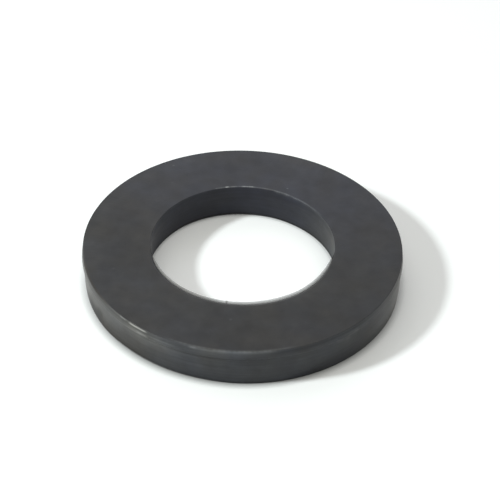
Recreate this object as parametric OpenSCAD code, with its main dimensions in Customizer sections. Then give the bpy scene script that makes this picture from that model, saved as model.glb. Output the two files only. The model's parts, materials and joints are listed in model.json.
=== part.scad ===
// Flat gasket washer, moulded in one piece.
// The origin is the centre of the underside, and +Z is up through the bore.

/* [Ring] */
// Outside diameter, over the lower edge of the land
outer_d = 24; // [20:0.5:48]
// Diameter of the bore, in its straight neck
bore_d = 13.75; // [6:0.25:16]
// Thickness, flat face to flat face
thickness = 3; // [2:0.25:8]

/* [Outer edge] */
// Height of the land that the upper half of the mould leaves under the top face
land_h = 0.6; // [0.5:0.05:1.2]
// Draft of the land, from its lower edge in to the top face
land_draft = 0.08; // [0.02:0.01:0.2]
// Step from the land in to the wall below it, on the radius
step_in = 0.1; // [0.05:0.01:0.3]
// Radius that rounds the top edge
rim_r = 0.1; // [0.05:0.05:0.4]
// Radius that rounds the bottom edge
foot_r = 0.12; // [0.1:0.02:0.5]

/* [Bore edge] */
// Height of the straight neck, down from the top face
neck_h = 0.6; // [0.5:0.05:1.2]
// How much the wall below the neck leans out down to the underside, on the radius
bore_flare = 0.25; // [0.05:0.05:0.5]
// Radius that rounds the top edge of the bore
bore_rim_r = 0.12; // [0.1:0.02:0.5]
// Radius that rounds the bottom edge of the bore
bore_foot_r = 0.25; // [0.1:0.05:0.8]

/* [Hidden] */
rubber = [0.29, 0.29, 0.295];
outer_r = outer_d / 2;
top_r = outer_r - land_draft;
wall_r = outer_r - step_in;
land_z = thickness - land_h;
neck_r = bore_d / 2;
neck_z = thickness - neck_h;
bore_low_r = neck_r + bore_flare;
land_lean = atan(land_draft / land_h);
bore_lean = atan(bore_flare / neck_z);
overshoot = 0.5;
$fn = 180;

// What a rounding takes off a corner at the origin, with one side along +X and the other at the angle
module round_off(r, angle = 90) {
    run = r / tan(angle / 2);
    reach = 1 + overshoot / r;
    translate([run, r])
        difference() {
            scale(reach)
                polygon([[0, 0], [0, -r], [-run, -r], [-r * sin(angle), r * cos(angle)]]);
            circle(r);
        }
}

// What is missing outside the wall, up to the fillet that runs out under the land
module step_back() {
    difference() {
        translate([wall_r, -overshoot])
            square([step_in + overshoot, land_z + overshoot]);
        translate([wall_r, land_z])
            mirror([0, 1])
                round_off(step_in);
    }
}

// Section of the ring, on the +X side of the axis
module ring_section() {
    difference() {
        polygon([
            [bore_low_r, 0],
            [outer_r, 0],
            [outer_r, land_z],
            [top_r, thickness],
            [neck_r, thickness],
            [neck_r, neck_z],
        ]);
        step_back();
        translate([top_r, thickness])
            rotate(180)
                round_off(rim_r, 90 + land_lean);
        translate([wall_r, 0])
            mirror([1, 0])
                round_off(foot_r);
        translate([neck_r, thickness])
            mirror([0, 1])
                round_off(bore_rim_r);
        translate([bore_low_r, 0])
            round_off(bore_foot_r, 90 + bore_lean);
    }
}

// The washer, turned from its section
module gasket_washer() {
    color(rubber)
        rotate_extrude()
            ring_section();
}

gasket_washer();
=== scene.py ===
import json
import math

import bpy
import numpy as np
from mathutils import Matrix, Vector


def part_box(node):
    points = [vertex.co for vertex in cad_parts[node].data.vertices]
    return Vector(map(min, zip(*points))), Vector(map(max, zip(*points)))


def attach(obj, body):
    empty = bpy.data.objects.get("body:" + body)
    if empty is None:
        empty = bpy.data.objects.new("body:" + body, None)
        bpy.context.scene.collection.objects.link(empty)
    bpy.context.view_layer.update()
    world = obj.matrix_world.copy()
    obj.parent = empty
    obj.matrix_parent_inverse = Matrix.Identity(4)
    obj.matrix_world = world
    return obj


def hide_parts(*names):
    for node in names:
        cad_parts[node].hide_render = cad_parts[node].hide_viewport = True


MM = 0.001

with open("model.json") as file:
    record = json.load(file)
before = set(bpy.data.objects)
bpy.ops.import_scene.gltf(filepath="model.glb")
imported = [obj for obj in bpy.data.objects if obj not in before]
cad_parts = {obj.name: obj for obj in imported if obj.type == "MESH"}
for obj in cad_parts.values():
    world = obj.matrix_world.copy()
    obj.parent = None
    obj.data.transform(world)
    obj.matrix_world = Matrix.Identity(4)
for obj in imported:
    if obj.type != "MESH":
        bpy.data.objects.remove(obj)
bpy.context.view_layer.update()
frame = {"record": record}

# Driving sizes in metres: the box and the bore come from the frame, and the small sizes repeat the section
low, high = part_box("gasket_washer")
outer_r = (high[0] - low[0]) / 2
thickness = high[2] - low[2]
bore_mount = next(m for m in frame["record"]["mounts"] if m["name"] == "bore")
bore_r = bore_mount["dims"]["r_mm"] * MM
land_h = 0.6 * MM
land_draft = 0.08 * MM
step_in = 0.1 * MM
rim_r = 0.1 * MM
foot_r = 0.12 * MM
neck_h = 0.6 * MM
bore_flare = 0.25 * MM
bore_rim_r = 0.12 * MM
bore_foot_r = 0.25 * MM
wall_r = outer_r - step_in
land_z = thickness - land_h
neck_z = thickness - neck_h
bore_low_r = bore_r + bore_flare
middle_r = (bore_r + outer_r) / 2

# What the lower mould half leaves: it sits a little to the right, and its wall bellies out below an undercut
lower_shift = 0.05 * MM
wall_belly = 0.05 * MM
undercut = 0.05 * MM
# How far the lower wall is drawn in at the right and at the front left
right_flat = 0.075 * MM
left_flat = 0.03 * MM
# Rounding of the land's lower edge
land_edge_r = 0.04 * MM
# How far from the bore's edge, the bore and the rim the top face has closer rows of points, for its wear
bore_edge_rows = 0.2 * MM
bore_rows = 0.8 * MM
rim_rows = 0.5 * MM

# Mesh steps round the ring, whose angles run anticlockwise from the right, with the front at 270 degrees
around = 840
turn_deg = np.arange(around) * 360 / around
turn = np.radians(turn_deg)


def ease(share):
    """A smooth step of numbers from 0 to 1."""
    share = np.clip(share, 0, 1)
    return share * share * (3 - 2 * share)


def rise(angles, start, fade):
    """0 up to the start, and 1 from one fade later on; all in degrees."""
    return ease((angles - start) / fade)


def fall(angles, end, fade):
    """1 up to one fade before the end, and 0 from the end on; all in degrees."""
    return ease((end - angles) / fade)


def span(angles, first, last, fade):
    """1 between two angles round the ring and 0 outside them, with soft ends; all in degrees."""
    half = ((last - first) % 360) / 2
    off = np.abs((angles - first - half + 180) % 360 - 180)
    return ease((half + fade / 2 - off) / fade)


# Places round the ring where its shape changes: first and last angle and the fade round them, in degrees
RIM_FRONT_PLACE = (247, 284, 14)
RIM_LEFT_PLACE = (186, 216, 20)
BORE_RIM_BACK_PLACE = (70, 112, 16)
FOOT_FRONT_PLACE = (220, 262, 14)
BORE_FOOT_BACK_PLACE = (62, 138, 30)
RIGHT_FLAT_PLACE = (345, 60, 24)
LEFT_FLAT_PLACE = (222, 264, 20)
# Where the wear of the bore's top edge starts and ends at the front: angle and fade in degrees
BORE_RIM_WEAR_START = (186, 18)
BORE_RIM_WEAR_END = (350, 50)
# Shares of the section's radius: what each edge keeps where it is sharp, and what wear adds
rim_sharp = 0.35
rim_front_wear = 1.15
rim_left_wear = 1.7
bore_rim_sharp = 0.4
bore_rim_front_wear = 2.5
bore_rim_back_wear = 0.3
bore_foot_sharp = 0.45

# Rounding of each edge round the ring
rim_wear = rim_front_wear * span(turn_deg, *RIM_FRONT_PLACE) + rim_left_wear * span(turn_deg, *RIM_LEFT_PLACE)
rim_round = rim_r * (rim_sharp + rim_wear)
front_share = rise(turn_deg, *BORE_RIM_WEAR_START) * fall(turn_deg, *BORE_RIM_WEAR_END)
front_wear = bore_rim_front_wear * front_share
back_wear = bore_rim_back_wear * span(turn_deg, *BORE_RIM_BACK_PLACE)
bore_rim_round = bore_rim_r * (bore_rim_sharp + front_wear + back_wear)
foot_round = foot_r * (1 + span(turn_deg, *FOOT_FRONT_PLACE))
bore_foot_rounded = (1 - bore_foot_sharp) * span(turn_deg, *BORE_FOOT_BACK_PLACE)
bore_foot_round = bore_foot_r * (bore_foot_sharp + bore_foot_rounded)


def line(start, end, steps):
    """Section points from start up to, but not at, end."""
    along = np.arange(steps) / steps
    return [(start[0] + (end[0] - start[0]) * u, start[1] + (end[1] - start[1]) * u) for u in along]


def arc(centre, radius, first, last, steps):
    """Section points of an arc from the first angle up to, but not at, the last, in degrees."""
    angles = np.radians(first + (last - first) * np.arange(steps) / steps)
    return [(centre[0] + radius * math.cos(a), centre[1] + radius * math.sin(a)) for a in angles]


def land():
    """Radius of the rim's centre, and the rounded rim with the land below it, which leans out downwards."""
    lean = math.atan2(land_draft, land_h)
    across = outer_r * math.cos(lean) + land_z * math.sin(lean)
    centre_z = thickness - rim_round
    centre_r = (across - rim_round - centre_z * math.sin(lean)) / math.cos(lean)
    below_rim = (centre_r + rim_round * math.cos(lean), centre_z + rim_round * math.sin(lean))
    edge_centre = (outer_r - land_edge_r, land_z + land_edge_r)
    above_edge = (outer_r - 0.2 * land_edge_r, land_z + 1.2 * land_edge_r)
    points = arc((centre_r, centre_z), rim_round, 90, math.degrees(lean), steps=8)
    points += line(below_rim, above_edge, steps=9)
    points += arc(edge_centre, land_edge_r, 0, -90, steps=4)
    return centre_r, points


def wall():
    """Radius of the lower wall round the ring, and the wall from under the land down to the foot."""
    inner = wall_r + lower_shift * np.cos(turn)
    inner = inner - right_flat * span(turn_deg, *RIGHT_FLAT_PLACE)
    inner = inner - left_flat * span(turn_deg, *LEFT_FLAT_PLACE)
    start = inner - undercut
    fillet = np.minimum(outer_r - start, step_in)
    points = arc((start + fillet, land_z - fillet), fillet, 90, 180, steps=6)
    height = land_z - step_in - foot_round
    rows = 20
    for down in np.arange(rows) / rows:
        belly = wall_belly * (1 - (2 * down - 1) ** 2) - undercut * (1 - down) ** 2
        points.append((inner + belly, land_z - step_in - down * height))
    points += arc((inner - foot_round, foot_round), foot_round, 0, -90, steps=8)
    return inner, points


def section():
    """Radius and height of each section point round the ring, over the top and outwards first."""
    top = thickness
    rim_centre_r, land_points = land()
    inner, wall_points = wall()
    bore_edge = bore_r + bore_rim_round
    beside_edge = bore_edge + bore_edge_rows
    beside_bore = bore_r + bore_rows
    beside_rim = outer_r - rim_rows
    bore_foot = bore_low_r + bore_foot_round
    points = arc((bore_edge, top - bore_rim_round), bore_rim_round, 180, 90, steps=9)
    points += line((bore_edge, top), (beside_edge, top), steps=6)
    points += line((beside_edge, top), (beside_bore, top), steps=3)
    points += line((beside_bore, top), (beside_rim, top), steps=9)
    points += line((beside_rim, top), (rim_centre_r, top), steps=6)
    points += land_points
    points += wall_points
    points += line((inner - foot_round, 0), (bore_foot, 0), steps=5)
    points += arc((bore_foot, bore_foot_round), bore_foot_round, -90, -180, steps=8)
    points += line((bore_low_r, bore_foot_round), (bore_r, neck_z), steps=10)
    points += line((bore_r, neck_z), (bore_r, top - bore_rim_round), steps=6)
    radius = np.stack([np.broadcast_to(p[0], around) for p in points], 1)
    height = np.stack([np.broadcast_to(p[1], around) for p in points], 1)
    return radius, height


# Wear and painted light on the outer wall: angles and fade in degrees, depth below the top face and its reach
# in mm, grey added
WALL_MARKS_AND_PAINTED_LIGHT = [
    # Front: a painted highlight along the worn rim, and the wall below it a little paler
    (254, 281, 10, 0.08, 0.09, 0.045),
    (250, 283, 16, 0.28, 0.14, 0.014),
    (253, 255, 2, 0.05, 0.08, 0.05),
    (238, 272, 14, 0.85, 0.4, 0.009),
    # Front left: a painted glint of the lamp along the rim, with shorter painted glints and a pale patch of
    # painted sheen on the wall below it
    (229.5, 236.5, 2, 0.12, 0.045, 0.40),
    (225, 227.5, 1, 0.08, 0.05, 0.13),
    (219, 229, 5, 0.07, 0.05, 0.03),
    (233, 237, 2, 0.46, 0.06, 0.08),
    (238, 247, 5, 0.33, 0.05, 0.025),
    (227, 236, 6, 0.48, 0.20, 0.035),
    (214, 246, 16, 0.7, 0.7, 0.032),
    # Left: painted shade just below the rim and in a line under the land, a paler band of painted sheen at
    # mid height, painted shade darkening it towards the foot, and one narrow darker streak
    (190, 220, 16, 0.16, 0.16, -0.030),
    (188, 210, 8, 0.70, 0.07, -0.032),
    (196, 220, 10, 1.5, 0.6, 0.014),
    (196, 236, 16, 2.7, 1.2, -0.015),
    (194, 212, 8, 2.4, 0.6, -0.018),
    (209, 213, 3, 1.75, 0.3, -0.030),
    # Front right and right: painted shade on the land, small scuffs, a little darker lower down at the front
    # right, and a wall made paler by painted reflection
    (280, 318, 10, 0.20, 0.16, -0.018),
    (310, 356, 12, 0.14, 0.20, -0.020),
    (334, 8, 10, 0.20, 0.22, -0.018),
    (284, 320, 10, 1.9, 0.6, -0.005),
    (311.3, 313.2, 1.5, 0.62, 0.16, 0.035),
    (308.2, 310, 1.5, 0.92, 0.14, 0.02),
    (304.5, 306.8, 1.5, 0.82, 0.12, 0.015),
    (324, 356, 12, 1.6, 1.1, 0.028),
    # All round: painted shade at the foot
    (0, 359.9, 1, 2.9, 1.2, -0.009),
]
# Wear and painted light on the top face and its edges: angles and fade in degrees, radius and its reach in
# mm, grey added
RIM_MARKS_AND_PAINTED_LIGHT = [
    # Edge of the bore, from the right to the back: a pale ragged line, partly a burr and partly a painted
    # highlight where the edge catches the light
    (330, 22, 12, 6.93, 0.10, 0.006),
    (32, 60, 10, 6.87, 0.10, 0.047),
    (60, 69, 4, 6.93, 0.06, 0.10),
    (69, 108, 6, 6.96, 0.05, 0.075),
    (84, 91, 2, 6.98, 0.045, 0.20),
    (95, 98, 2, 6.98, 0.045, 0.11),
    (100.2, 102.2, 1.2, 6.98, 0.045, 0.55),
    (107.5, 108.7, 1, 6.98, 0.04, 0.08),
    # Outer rim at the front: a painted highlight along the worn, rounded rim
    (247, 285, 12, 11.80, 0.08, 0.055),
    (262, 280, 8, 11.86, 0.05, 0.045),
    # Slightly paler parts of the face, at the back left and beside the bore at the front
    (50, 195, 30, 11.50, 0.9, 0.009),
    (236, 322, 30, 7.30, 0.4, 0.010),
]
# Tint of the wear and of the painted highlights, sheen and shade on the wall and the edges
MARKS_AND_LIGHT_TINT = np.array((0.99, 1.01, 0.995))

# Places round the ring with a colour or painted light and shade, a clearness or a roughness of their own:
# angles and fade in degrees
FACE_BACK_PLACE = (5, 145, 60)
WALL_FRONT_PLACE = (240, 326, 40)
BORE_BACK_PLACE = (40, 240, 50)
SCUFF_PLACE = (200, 221, 10)
CLEARER_PLACE = (195, 222, 20)
NIB_PLACE = (260.6, 261.4, 1)

# Colours of the rubber, as red, green and blue, with light and shade painted in: the wall warmer at the sides
# where the lamp lights it and bluer at the front, the back of the face bluer and paler as a painted
# reflection of the sky, and the back of the bore darker and bluer in painted shade than its lamp-lit right
# side
WALL_SIDES_LAMPLIT = np.array((0.0360, 0.0340, 0.0315))
WALL_FRONT_SKYLIT = np.array((0.0314, 0.0332, 0.0376))
BORE_BACK_IN_SHADE = np.array((0.0152, 0.0163, 0.0247))
BORE_RIGHT_LAMPLIT = np.array((0.0269, 0.0272, 0.0294))
FACE_BACK_SKY_SHEEN = np.array((0.0276, 0.0286, 0.0358))
FACE_FRONT = np.array((0.0262, 0.0258, 0.0265))
FILM = np.array((0.032, 0.030, 0.028))
DARKEST = 0.002
# Painted shade at the foot of the bore: the share by which it is darker, and the depth at which that starts
# and its fade in mm
BORE_FOOT_SHADE = 0.75
BORE_FOOT_DEPTH = 2.62
BORE_FOOT_FADE = 0.2
# Depth in mm over which the colour of the face turns into that of the wall and of the bore
WALL_FADE = 0.03
BORE_FADE = 0.06
# Depth in mm to which the wear and painted highlights of the top edges reach
EDGE_DEPTH = 0.15

# Roughness of the faces and the wall, and what is added to it in the bore and on a scuffed patch
PLAIN_DULLNESS = 0.34
BORE_DULLNESS = 0.19
SCUFF_DULLNESS = 0.12
# Depth in mm over which the bore gets duller, and the depth and reach of the scuffed patch
DULL_FADE = 0.1
SCUFF_DEPTH = 2.2
SCUFF_REACH = 0.7


def blend(first, second, share):
    """The colour that lies the stated share of the way from the first to the second, at each point."""
    return first + (second - first) * share[..., None]


def underneath(height):
    """1 on the underside and 0 on the rest, from the height of each point."""
    reach = 0.02 * MM
    return ease(1 - height / reach)


def patchy(angles):
    """A share that goes unevenly up and down round the ring, for worn edges and their painted highlights."""
    return 0.75 + 0.25 * np.sin(np.radians(angles * 131)) * np.sin(np.radians(angles * 83) + 1)


def bell(offset, reach):
    """1 where the offset is 0, falling off on both sides over the reach."""
    return np.exp(-(offset / reach) ** 2)


def paint(radius, height):
    """Colour of the rubber at each point: black faces, a greyer wall, a bluish bore, light and shade painted
    in by side, and wear with painted highlights, sheen and shade on them.
    """
    depth = (thickness - height) / MM
    r = radius / MM
    angles = turn_deg[:, None] + 0 * depth
    outside = ease(depth / WALL_FADE) * (radius > middle_r)
    inside = ease(depth / BORE_FADE) * (radius < middle_r)
    under = underneath(height)
    # Painted light and shade in these colours: lamp-lit sides of the wall, a sky-lit front, a back of the
    # face that mirrors the sky, and a shaded back of the bore
    face_colour = blend(FACE_FRONT, FACE_BACK_SKY_SHEEN, span(angles, *FACE_BACK_PLACE))
    wall_colour = blend(WALL_SIDES_LAMPLIT, WALL_FRONT_SKYLIT, span(angles, *WALL_FRONT_PLACE))
    bore_colour = blend(BORE_RIGHT_LAMPLIT, BORE_BACK_IN_SHADE, span(angles, *BORE_BACK_PLACE))
    colour = blend(blend(face_colour, wall_colour, outside), bore_colour, inside)
    # Painted shade at the foot of the bore
    foot_shade = BORE_FOOT_SHADE * inside * ease((depth - BORE_FOOT_DEPTH) / BORE_FOOT_FADE)
    colour = blend(colour * (1 - foot_shade)[..., None], FACE_FRONT, under)
    marks_and_light = 0 * depth
    for first, last, fade, at, reach, grey in WALL_MARKS_AND_PAINTED_LIGHT:
        marks_and_light = marks_and_light + grey * outside * span(angles, first, last, fade) * bell(depth - at, reach)
    marks_and_light = marks_and_light * (1 - under)
    on_edges = patchy(angles) * bell(depth, EDGE_DEPTH)
    for first, last, fade, at, reach, grey in RIM_MARKS_AND_PAINTED_LIGHT:
        marks_and_light = marks_and_light + grey * on_edges * span(angles, first, last, fade) * bell(r - at, reach)
    return np.clip(colour + marks_and_light[..., None] * MARKS_AND_LIGHT_TINT, DARKEST, 1)


def dullness(radius, height):
    """Roughness at each point: duller in the bore than elsewhere, and on a scuffed patch low at the left."""
    depth = (thickness - height) / MM
    in_bore = ease(depth / DULL_FADE) * (radius < middle_r)
    on_patch = bell(depth - SCUFF_DEPTH, SCUFF_REACH) * (radius > middle_r)
    scuffed = span(turn_deg[:, None], *SCUFF_PLACE) * on_patch
    added = BORE_DULLNESS * in_bore + SCUFF_DULLNESS * scuffed
    return PLAIN_DULLNESS + added * (1 - underneath(height))


def point_values(mesh, name, values):
    """Stores one number for each point of the mesh, for the materials to read."""
    stored = mesh.attributes.new(name, "FLOAT", "POINT")
    stored.data.foreach_set("value", values.astype(np.float32).ravel())


def point_colours(mesh, name, colours):
    """Stores one colour for each point of the mesh, for the materials to read."""
    opaque = np.concatenate([colours, np.ones_like(colours[..., :1])], -1)
    stored = mesh.attributes.new(name, "FLOAT_COLOR", "POINT")
    stored.data.foreach_set("color", opaque.astype(np.float32).ravel())


def turned_points(radius, height, angles):
    """Points in space from a radius and a height for each section point, at each angle in radians."""
    return np.stack([radius * np.cos(angles)[:, None], radius * np.sin(angles)[:, None], height], -1)


def quads_between(rows, after, count):
    """Corners of the quads from each row of points to the row after it, round a loop of count points."""
    here = rows[:, None] * count
    there = after[:, None] * count
    k = np.arange(count)
    beside = (k + 1) % count
    return np.stack([here + k, here + beside, there + beside, there + k], -1).reshape(-1, 4).tolist()


def new_object(name, points, faces):
    """A smooth mesh object from points and faces."""
    mesh = bpy.data.meshes.new(name)
    mesh.from_pydata(points.reshape(-1, 3).tolist(), [], faces)
    mesh.validate()
    mesh.update()
    mesh.polygons.foreach_set("use_smooth", [True] * len(mesh.polygons))
    new = bpy.data.objects.new(name, mesh)
    bpy.context.scene.collection.objects.link(new)
    return new


def washer_mesh(name):
    """A closed ring of quads through the section at each angle."""
    radius, height = section()
    rows = np.arange(around)
    quads = quads_between(rows, (rows + 1) % around, radius.shape[1])
    ring = new_object(name, turned_points(radius, height, turn), quads)
    point_colours(ring.data, "paint", paint(radius, height))
    point_values(ring.data, "dull", dullness(radius, height))
    return ring


# Film of flash on the top edge of the bore: its two ends in degrees, and its rows and points across
FLASH_FIRST = 182
FLASH_LAST = 360
FLASH_ROWS = 446
FLASH_ACROSS = 8
# Where it is rooted in the edge's rounding: shares of that radius below the face and out from the bore
FLASH_DROP = 0.22
FLASH_ROOT = 0.5
# Its thickness at the root and at the tip, and how far a nib of it sticks out at one place
FLASH_ROOT_THICK = 0.04 * MM
FLASH_TIP_THICK = 0.01 * MM
NIB_LENGTH = 0.03 * MM
# Its length in mm at the left, the changes of that as angle, fade and mm, and the share left at its two ends
FLASH_LENGTH = 0.11
FLASH_CHANGES = [(206, 24, 0.065), (236, 36, 0.07), (318, 20, -0.03)]
FLASH_END = 0.05
# Where it grows to its length and where it runs out: angle and fade in degrees
FLASH_GROWS = (184, 20)
FLASH_RUNS_OUT = (355, 17)
# Waves of its ragged edge: how many in a full turn, where they start, and their height in mm
FLASH_WAVES = [(9, 0, 0.012), (23, 1, 0.006), (51, 2, 0.003)]
# How clear its tip is, what is added to that at the left, and the share that is lost at the nib
TIP_CLEAR = 0.78
TIP_CLEARER = 0.07
NIB_DULLER = 0.4
# How fast it gets clear from its root: 1 is evenly, and less is sooner
CLEAR_POWER = 0.6


def flash_length(angles):
    """How far the film reaches in past the wall of the bore at each angle, in metres, with a ragged edge."""
    length = FLASH_LENGTH + 0 * angles
    for start, fade, added in FLASH_CHANGES:
        length = length + added * rise(angles, start, fade)
    for waves, phase, size in FLASH_WAVES:
        length = length + size * np.sin(waves * np.radians(angles) + phase)
    return length * MM


def flash_mesh(name):
    """The film of flash that the mould left on the bore's top edge: a closed wedge, rooted in the ring."""
    angles = np.linspace(FLASH_FIRST, FLASH_LAST, FLASH_ROWS)
    edge = np.interp(angles, turn_deg, bore_rim_round)
    top = thickness - FLASH_DROP * edge
    root = bore_r + FLASH_ROOT * edge
    nib = span(angles, *NIB_PLACE)
    share = rise(angles, *FLASH_GROWS) * fall(angles, *FLASH_RUNS_OUT)
    grown = FLASH_END + (1 - FLASH_END) * share
    tip = root - (root - bore_r + flash_length(angles) + NIB_LENGTH * nib) * grown
    across = np.linspace(0, 1, FLASH_ACROSS)
    radius = root[:, None] + (tip - root)[:, None] * across
    upper = np.broadcast_to(top[:, None], radius.shape)
    lower = upper - FLASH_ROOT_THICK - (FLASH_TIP_THICK - FLASH_ROOT_THICK) * across
    loop_r = np.concatenate([radius, radius[:, ::-1]], 1)
    loop_z = np.concatenate([upper, lower[:, ::-1]], 1)
    count = loop_r.shape[1]
    rows = np.arange(len(angles) - 1)
    last = len(rows) * count
    ends = [list(range(count)), list(range(last + count - 1, last - 1, -1))]
    faces = quads_between(rows + 1, rows, count) + ends
    film = new_object(name, turned_points(loop_r, loop_z, np.radians(angles)), faces)
    clear = (TIP_CLEAR + TIP_CLEARER * span(angles, *CLEARER_PLACE)) * (1 - NIB_DULLER * nib)
    cover = 1 - clear[:, None] * across ** CLEAR_POWER
    point_values(film.data, "cover", np.concatenate([cover, cover[:, ::-1]], 1))
    point_colours(film.data, "paint", np.ones_like(loop_r)[..., None] * FILM)
    return film


def node(tree, kind, inputs, **settings):
    """A shader node with its settings made and its inputs linked or set."""
    made = tree.nodes.new(kind)
    for name, value in settings.items():
        setattr(made, name, value)
    for slot, value in inputs.items():
        if isinstance(value, bpy.types.NodeSocket):
            tree.links.new(value, made.inputs[slot])
        else:
            made.inputs[slot].default_value = value
    return made


def maths(tree, operation, *values):
    """One Math node, as its output."""
    return node(tree, "ShaderNodeMath", dict(enumerate(values)), operation=operation).outputs["Value"]


def vector_maths(tree, operation, inputs, result="Vector"):
    """One Vector Math node, as the output of that name."""
    return node(tree, "ShaderNodeVectorMath", inputs, operation=operation).outputs[result]


def map_range(tree, value, from_min, from_max, to_min=0.0, to_max=1.0, kind="LINEAR"):
    """One Map Range node, as its output, which stays between the last two numbers."""
    inputs = {"Value": value, "From Min": from_min, "From Max": from_max, "To Min": to_min, "To Max": to_max}
    return node(tree, "ShaderNodeMapRange", inputs, interpolation_type=kind).outputs["Result"]


def object_place(tree):
    """The place of each point in the object's own frame, in metres."""
    return node(tree, "ShaderNodeTexCoord", {}).outputs["Object"]


def attribute(tree, name, kind):
    """What the mesh stores at its points under that name: Fac for a number, Color for a colour."""
    return node(tree, "ShaderNodeAttribute", {}, attribute_name=name).outputs[kind]


def noise(tree, place, per_mm, detail=2.0, stretch=(1.0, 1.0, 1.0)):
    """Noise round a half, with the stated number of spots in a millimetre."""
    scale = tuple(per_mm / MM * s for s in stretch)
    spread = vector_maths(tree, "MULTIPLY", {0: place, 1: scale})
    inputs = {"Vector": spread, "Scale": 1.0, "Detail": detail}
    return node(tree, "ShaderNodeTexNoise", inputs).outputs["Fac"]


def about_one(tree, value, amount):
    """A noise round a half as a factor round 1 that changes by the stated amount."""
    return maths(tree, "MULTIPLY_ADD", value, amount, 1 - amount / 2)


# Pale specks on the top face: angle in degrees, radius and size in mm, grey added
SPECKS = [
    (120.8, 11.15, 0.16, 0.035),
    (63.5, 7.64, 0.12, 0.055),
    (265.1, 8.64, 0.16, 0.02),
    (199.9, 9.97, 0.2, 0.01),
    (127.9, 9.22, 0.16, 0.008),
]


def speck(tree, place, angle, radius, size, grey):
    """A small pale spot on the top face."""
    a = math.radians(angle)
    centre = (radius * math.cos(a) * MM, radius * math.sin(a) * MM, thickness)
    away = vector_maths(tree, "DISTANCE", {0: place, 1: centre}, "Value")
    return map_range(tree, away, size * MM, 0.0, 0.0, grey, "SMOOTHSTEP")


# Spots in a millimetre of each pattern in the rubber; the streaks are long on the faces and thin up the walls
CLOUDS_PER_MM = 0.9
STREAKS_PER_MM = 0.5
STREAK_STRETCH = (0.35, 0.35, 9.0)
GRAIN_PER_MM = 6.0
DRIFT_PER_MM = 0.35
DRIFT_FROM = 0.35
DRIFT_TO = 0.65
# How much clouds and streaks change the colour, and the two tints that it drifts between
MOTTLE = 0.9
BLUE_TINT = (0.95, 0.99, 1.06, 1)
OLIVE_TINT = (1.04, 1.015, 0.95, 1)
# Level of the gloss, what the grain changes in the roughness, and how deep the bumps are
GLOSS = 0.3
GRAIN_DULLNESS = 0.10
BUMP_SHARE = 0.6
BUMP_STRENGTH = 0.5
BUMP_DEPTH = 0.012 * MM
# Sockets of a Mix node that hold its two colours and give the mixed one
MIX_FIRST = 6
MIX_SECOND = 7
MIX_RESULT = 2


def surface(tree, colour, dull):
    """Rubber of that colour and roughness, with clouds that drift from blue to olive, streaks and grain."""
    shader = tree.nodes["Principled BSDF"]
    shader.inputs["Specular IOR Level"].default_value = GLOSS
    place = object_place(tree)
    clouds = noise(tree, place, CLOUDS_PER_MM, detail=3.0)
    streaks = noise(tree, place, STREAKS_PER_MM, detail=3.0, stretch=STREAK_STRETCH)
    grain = noise(tree, place, GRAIN_PER_MM)
    mottle = maths(tree, "MULTIPLY", about_one(tree, clouds, MOTTLE), about_one(tree, streaks, MOTTLE))
    drift = map_range(tree, noise(tree, place, DRIFT_PER_MM), DRIFT_FROM, DRIFT_TO)
    tints = {"Factor": drift, MIX_FIRST: BLUE_TINT, MIX_SECOND: OLIVE_TINT}
    tint = node(tree, "ShaderNodeMix", tints, data_type="RGBA").outputs[MIX_RESULT]
    tinted = vector_maths(tree, "MULTIPLY", {0: colour, 1: tint})
    mottled = vector_maths(tree, "SCALE", {0: tinted, "Scale": mottle})
    tree.links.new(mottled, shader.inputs["Base Color"])
    uneven = maths(tree, "MULTIPLY_ADD", grain, GRAIN_DULLNESS, -GRAIN_DULLNESS / 2)
    tree.links.new(maths(tree, "ADD", dull, uneven), shader.inputs["Roughness"])
    bumps = maths(tree, "MULTIPLY", maths(tree, "ADD", grain, streaks), BUMP_SHARE)
    inputs = {"Height": bumps, "Strength": BUMP_STRENGTH, "Distance": BUMP_DEPTH}
    tree.links.new(node(tree, "ShaderNodeBump", inputs).outputs["Normal"], shader.inputs["Normal"])
    return shader


def new_material(name):
    """A node material of that name."""
    material = bpy.data.materials.new(name)
    material.use_nodes = True
    return material


def rubber():
    """Black moulded rubber, coloured and dulled as the mesh says, with a few pale specks."""
    material = new_material("black_rubber")
    tree = material.node_tree
    place = object_place(tree)
    colour = attribute(tree, "paint", "Color")
    for mark in SPECKS:
        colour = vector_maths(tree, "ADD", {0: colour, 1: speck(tree, place, *mark)})
    surface(tree, colour, attribute(tree, "dull", "Fac"))
    return material


def film_rubber():
    """The same rubber in a film thin enough for light to come through its edge."""
    material = new_material("rubber_film")
    tree = material.node_tree
    film_dullness = 0.5
    shader = surface(tree, attribute(tree, "paint", "Color"), film_dullness)
    tree.links.new(attribute(tree, "cover", "Fac"), shader.inputs["Alpha"])
    return material


def towards(azimuth, elevation):
    """The direction at two angles in degrees, anticlockwise from the right and up from the ground."""
    a = math.radians(azimuth)
    e = math.radians(elevation)
    return Vector((math.cos(a) * math.cos(e), math.sin(a) * math.cos(e), math.sin(e)))


def distance_out(tree):
    """How far each point lies from the origin, in metres."""
    return vector_maths(tree, "LENGTH", {0: object_place(tree)}, "Value")


# Contact shade on the ground: its reach, the way to its strongest side, and its strengths along that way
SHADE_REACH = 0.68 * MM
SHADE_AZIMUTH = 275
SHADE_BACK_AT = -6 * MM
SHADE_BACK = 0.1
SHADE_FRONT_AT = 12 * MM
SHADE_FRONT = 1.34
SHADE_IN_BORE = 0.2
# Painted shade in a band on the ground along the foot of the bore: its width and its brightness
DARK_BAND = 0.32 * MM
DARK_BAND_LEVEL = 0.76


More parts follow.
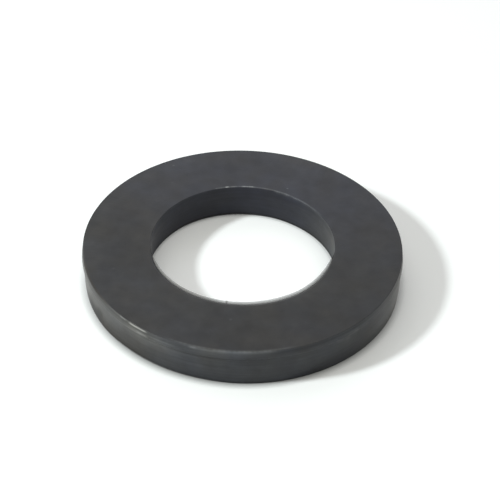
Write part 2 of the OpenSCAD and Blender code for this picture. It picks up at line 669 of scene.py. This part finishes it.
def contact_shade(tree):
    """1 on open ground, falling beside the foot, most at the front and least inside the bore."""
    open_share = node(tree, "ShaderNodeAmbientOcclusion", {"Distance": SHADE_REACH}, samples=12).outputs["AO"]
    forward = {0: object_place(tree), 1: towards(SHADE_AZIMUTH, 0)}
    along = vector_maths(tree, "DOT_PRODUCT", forward, "Value")
    by_side = map_range(tree, along, SHADE_BACK_AT, SHADE_FRONT_AT, SHADE_BACK, SHADE_FRONT)
    out = distance_out(tree)
    by_radius = map_range(tree, out, bore_r, outer_r, SHADE_IN_BORE, 1.0)
    strength = maths(tree, "MULTIPLY", by_side, by_radius)
    hidden = maths(tree, "SUBTRACT", 1.0, open_share)
    shade = maths(tree, "SUBTRACT", 1.0, maths(tree, "MULTIPLY", hidden, strength))
    in_band = map_range(tree, out, bore_low_r - DARK_BAND, bore_low_r, 1.0, DARK_BAND_LEVEL, "SMOOTHSTEP")
    past_band = maths(tree, "GREATER_THAN", out, bore_low_r + bore_foot_r)
    return maths(tree, "MULTIPLY", shade, maths(tree, "MAXIMUM", in_band, past_band))


def seen_or_mirrored(tree):
    """1 for a ray from the camera, or one off a gloss or through a clear surface, and 0 for other light."""
    path = node(tree, "ShaderNodeLightPath", {}).outputs
    mirrored = maths(tree, "MAXIMUM", path["Is Glossy Ray"], path["Is Transmission Ray"])
    return maths(tree, "MAXIMUM", path["Is Camera Ray"], mirrored)


# Colour of the ground where it only lights the washer, and where it is seen
GROUND_GREY = (0.93, 0.93, 0.93, 1)
GROUND_WHITE = (0.985, 1.0, 0.995)
# How much brighter the ground is where it is seen, and the painted light added to that inside the bore, which
# lightens the shade there
HAZE = 0.09
PAINTED_LIGHT_IN_BORE = 0.035


def floor_material():
    """Plain white ground with a soft contact shade, a little brighter where it is seen or mirrored, and with
    a little painted light glowing from it inside the bore.
    """
    material = new_material("white_ground")
    tree = material.node_tree
    tree.nodes.clear()
    plain = node(tree, "ShaderNodeBsdfDiffuse", {"Color": GROUND_GREY}).outputs["BSDF"]
    shade = contact_shade(tree)
    white = vector_maths(tree, "SCALE", {0: GROUND_WHITE, "Scale": shade})
    seen = node(tree, "ShaderNodeBsdfDiffuse", {"Color": white}).outputs["BSDF"]
    # Painted light: the ground inside the bore glows a little more
    in_bore = maths(tree, "LESS_THAN", distance_out(tree), bore_low_r)
    extra = maths(tree, "MULTIPLY_ADD", in_bore, PAINTED_LIGHT_IN_BORE, HAZE)
    haze_strength = maths(tree, "MULTIPLY", shade, extra)
    haze = node(tree, "ShaderNodeEmission", {"Strength": haze_strength}).outputs["Emission"]
    bright = node(tree, "ShaderNodeAddShader", {0: seen, 1: haze}).outputs["Shader"]
    ground = {"Fac": seen_or_mirrored(tree), 1: plain, 2: bright}
    mixed = node(tree, "ShaderNodeMixShader", ground).outputs["Shader"]
    node(tree, "ShaderNodeOutputMaterial", {"Surface": mixed})
    return material


def add_floor():
    """A wide flat ground at the height of the underside."""
    half = 2.0
    mesh = bpy.data.meshes.new("floor")
    corners = [(-half, -half, 0), (half, -half, 0), (half, half, 0), (-half, half, 0)]
    mesh.from_pydata(corners, [], [(0, 1, 2, 3)])
    mesh.materials.append(floor_material())
    floor = bpy.data.objects.new("floor", mesh)
    bpy.context.scene.collection.objects.link(floor)


# Colours of light
WARM = (1.0, 0.997, 0.935)
NEUTRAL = (1.0, 0.99, 0.975)
COOL = (0.89, 0.97, 1.15)
LAMP_LIGHT = (0.94, 1.0, 1.01)
# Patches of sky, overhead, low at the left and two behind: azimuth, elevation, sharpness, strength, colour
SKY_PATCHES = [
    (288, 68, 10, 2.03, WARM),
    (210, 3, 16, 3.4, WARM),
    (110, 45, 10, 1.41, NEUTRAL),
    (72, 22, 16, 1.05, COOL),
]
# What the camera and reflections see instead of that sky
PALE = (0.97, 0.97, 0.97, 1)


def glow(tree, place, azimuth, elevation, sharpness, strength, colour):
    """A soft round patch of sky, as strength * exp(sharpness * (cosine - 1)) of its colour."""
    inputs = {0: place, 1: towards(azimuth, elevation)}
    cosine = vector_maths(tree, "DOT_PRODUCT", inputs, "Value")
    power = maths(tree, "MULTIPLY_ADD", cosine, float(sharpness), math.log(strength) - sharpness)
    return vector_maths(tree, "SCALE", {0: colour, "Scale": maths(tree, "EXPONENT", power)})


def add_world():
    """A sky of soft patches of light, which is itself seen and mirrored as plain and pale."""
    world = bpy.data.worlds.new("studio")
    bpy.context.scene.world = world
    world.use_nodes = True
    tree = world.node_tree
    place = node(tree, "ShaderNodeTexCoord", {}).outputs["Generated"]
    patches = [glow(tree, place, *patch) for patch in SKY_PATCHES]
    total = patches[0]
    for patch in patches[1:]:
        total = vector_maths(tree, "ADD", {0: total, 1: patch})
    sky = tree.nodes["Background"]
    tree.links.new(total, sky.inputs["Color"])
    pale = node(tree, "ShaderNodeBackground", {"Color": PALE, "Strength": 1.0})
    seen = {"Fac": seen_or_mirrored(tree), 1: sky.outputs["Background"], 2: pale.outputs["Background"]}
    mixed = node(tree, "ShaderNodeMixShader", seen)
    tree.links.new(mixed.outputs["Shader"], tree.nodes["World Output"].inputs["Surface"])


def add_lamp(name, azimuth, elevation, distance, share, width):
    """A round lamp that gives the ground the stated share of full light; its width is in degrees."""
    lamp = bpy.data.lights.new(name, "AREA")
    lamp.shape = "DISK"
    lamp.color = LAMP_LIGHT
    lamp.size = 2 * distance * math.tan(math.radians(width / 2))
    lamp.energy = share * (math.pi * distance) ** 2 / math.sin(math.radians(elevation))
    placed = bpy.data.objects.new(name, lamp)
    direction = towards(azimuth, elevation)
    placed.rotation_mode = "QUATERNION"
    placed.rotation_quaternion = direction.to_track_quat("Z", "Y")
    placed.location = direction * distance
    bpy.context.scene.collection.objects.link(placed)


def add_camera():
    """The photo's view, fitted to the washer's outlines."""
    azimuth = 269.57
    elevation = 39.32
    distance = 100.63 * MM
    aim = Vector((0.553, 0.893, 1.52)) * MM
    roll = math.radians(1.594)
    back = towards(azimuth, elevation)
    data = bpy.data.cameras.new("camera")
    data.sensor_fit = "HORIZONTAL"
    data.sensor_width = 36
    data.lens = 95.32
    data.clip_start = 0.001
    data.clip_end = 10
    camera = bpy.data.objects.new("camera", data)
    camera.rotation_mode = "QUATERNION"
    camera.location = aim + back * distance
    tilt = back.to_track_quat("Z", "Y").to_matrix() @ Matrix.Rotation(roll, 3, "Z")
    camera.rotation_quaternion = tilt.to_quaternion()
    bpy.context.scene.collection.objects.link(camera)
    bpy.context.scene.camera = camera


def add_washer():
    """The ring, in place of the plain solid."""
    washer = washer_mesh("washer_ring")
    washer.data.materials.append(rubber())
    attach(washer, "root")
    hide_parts("gasket_washer")


def add_flash():
    """The film of flash on the bore's edge."""
    film = flash_mesh("bore_flash")
    film.data.materials.append(film_rubber())
    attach(film, "root")


add_camera()
add_world()
add_lamp("window", azimuth=192.5, elevation=39.2, distance=230 * MM, share=0.455, width=7)
add_floor()
add_washer()
add_flash()
bpy.context.scene.view_settings.view_transform = "Standard"
